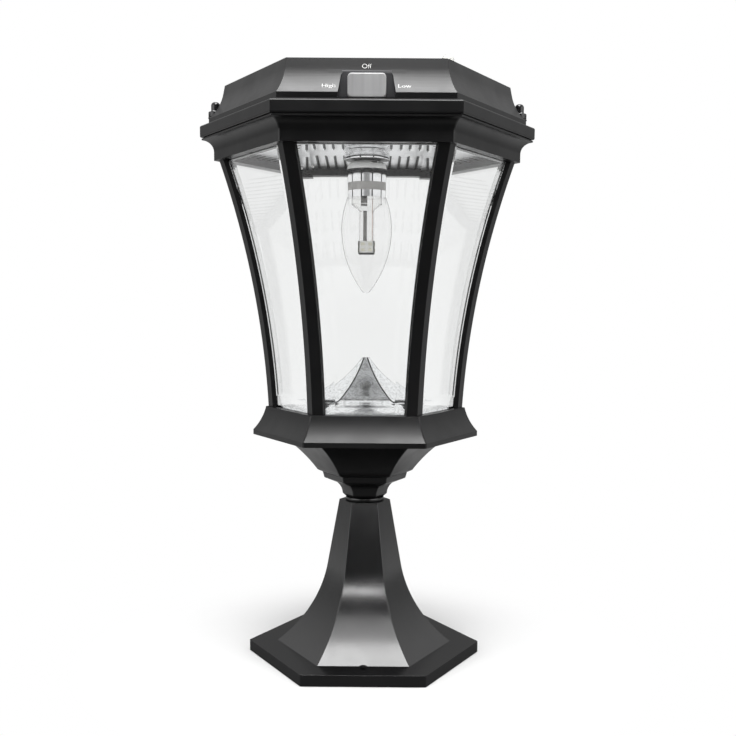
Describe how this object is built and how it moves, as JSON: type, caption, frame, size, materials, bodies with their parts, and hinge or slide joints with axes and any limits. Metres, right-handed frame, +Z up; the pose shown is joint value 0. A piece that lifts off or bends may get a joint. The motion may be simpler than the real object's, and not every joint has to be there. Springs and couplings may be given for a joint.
{
  "type": "solar pier lantern",
  "caption": "Six-sided solar lantern on a flared pier stand, with curved clear panes, a mirror floor and ceiling, a hanging candle bulb, a rocker switch and a lift-off roof with a solar panel.",
  "frame": {"origin": "on the ground, under the middle of the lantern", "axes": "+Z up, the switch and front pane face -Y, two corners lie on the X axis"},
  "size_m": [0.264, 0.2286, 0.4622],
  "materials": {
    "cast_body": "satin powder coat",
    "pane": "clear",
    "mirror": "bright",
    "chrome": "polished",
    "holder": "metallised",
    "brass": "plain",
    "nut_black": "gloss",
    "steel": "zinc plated",
    "rubber": "matt",
    "key_grey": "gloss",
    "switch_black": "matt",
    "panel_glass": "clear",
    "cells": "gloss",
    "backer": "matt",
    "lens": "translucent",
    "sensor": "matt",
    "battery": "sleeved",
    "board": "satin",
    "board_parts": "matt",
    "wire": "satin",
    "bulb_glass": "clear",
    "led": "gloss"
  },
  "bodies": {
    "lantern": {"pier_base": "cast_body", "neck_spacer": "cast_body", "neck_collar": "cast_body", "tie_rod": "steel", "tie_nuts": "steel", "tie_washers": "steel", "under_bowl": "cast_body", "bowl_screws": "steel", "lower_frame": "cast_body", "bottom_reflector": "mirror", "rib_1": "cast_body", "rib_2": "cast_body", "rib_3": "cast_body", "rib_4": "cast_body", "rib_5": "cast_body", "rib_6": "cast_body", "pane_1": "pane", "pane_2": "pane", "pane_3": "pane", "pane_4": "pane", "pane_5": "pane", "pane_6": "pane", "rib_foot_screws": "steel", "rib_head_screws": "steel", "upper_frame": "cast_body", "roof_studs": "steel", "roof_gasket": "rubber"},
    "roof": {"roof_shell": "cast_body", "panel_backer": "backer", "solar_cells": "cells", "panel_glass": "panel_glass", "photocell_lens": "lens", "photocell": "sensor", "switch_body": "switch_black", "ceiling_reflector": "mirror", "ceiling_screws": "steel", "bulb_socket": "holder", "socket_nut": "holder", "socket_contact": "brass", "battery_box": "switch_black", "battery_cells": "battery", "battery_cover": "switch_black", "battery_screws": "steel", "board_posts": "switch_black", "control_board": "board", "board_screws": "steel", "board_parts": "board_parts", "wire_harness": "wire"},
    "rocker": {"rocker": "key_grey"},
    "nut_washer_left": {"nut_washer_left": "nut_black"},
    "cap_nut_left": {"cap_nut_left": "nut_black"},
    "nut_washer_right": {"nut_washer_right": "nut_black"},
    "cap_nut_right": {"cap_nut_right": "nut_black"},
    "bulb_seal": {"bulb_seal": "rubber"},
    "bulb": {"bulb_cap": "chrome", "bulb_contact": "brass", "bulb_base": "chrome", "bulb_glass": "bulb_glass", "bulb_post": "bulb_glass", "led_block": "led"}
  },
  "joints": [
    {"name": "roof_lift", "type": "slide", "parent": "lantern", "child": "roof", "axis": [0, 0, 1], "range_m": [0, 0.16]},
    {"name": "rocker_tilt", "type": "hinge", "parent": "roof", "child": "rocker", "pos_m": [0, -0.095, 0.4379], "axis": [0, 0, 1], "range_deg": [-8, 8]},
    {"name": "washer_rise_left", "type": "slide", "parent": "roof", "child": "nut_washer_left", "axis": [0, 0, 1], "range_m": [0, 0.007]},
    {"name": "nut_turn_left", "type": "hinge", "parent": "nut_washer_left", "child": "cap_nut_left", "pos_m": [-0.12048, 0.008, 0.44], "axis": [0, 0, 1], "range_deg": [0, 3601]},
    {"name": "washer_rise_right", "type": "slide", "parent": "roof", "child": "nut_washer_right", "axis": [0, 0, 1], "range_m": [0, 0.007]},
    {"name": "nut_turn_right", "type": "hinge", "parent": "nut_washer_right", "child": "cap_nut_right", "pos_m": [0.12048, 0.008, 0.44], "axis": [0, 0, 1], "range_deg": [0, 3601]},
    {"name": "bulb_drop", "type": "slide", "parent": "roof", "child": "bulb_seal", "axis": [0, 0, -1], "range_m": [0, 0.01524]},
    {"name": "bulb_turn", "type": "hinge", "parent": "bulb_seal", "child": "bulb", "pos_m": [0, 0, 0.38], "axis": [0, 0, -1], "range_deg": [0, 2161]}
  ],
  "couplings": [
    {"joint": "nut_turn_left", "follows": "washer_rise_left", "rad_per_m": 8976},
    {"joint": "nut_turn_right", "follows": "washer_rise_right", "rad_per_m": 8976},
    {"joint": "bulb_turn", "follows": "bulb_drop", "rad_per_m": 2473.7}
  ]
}
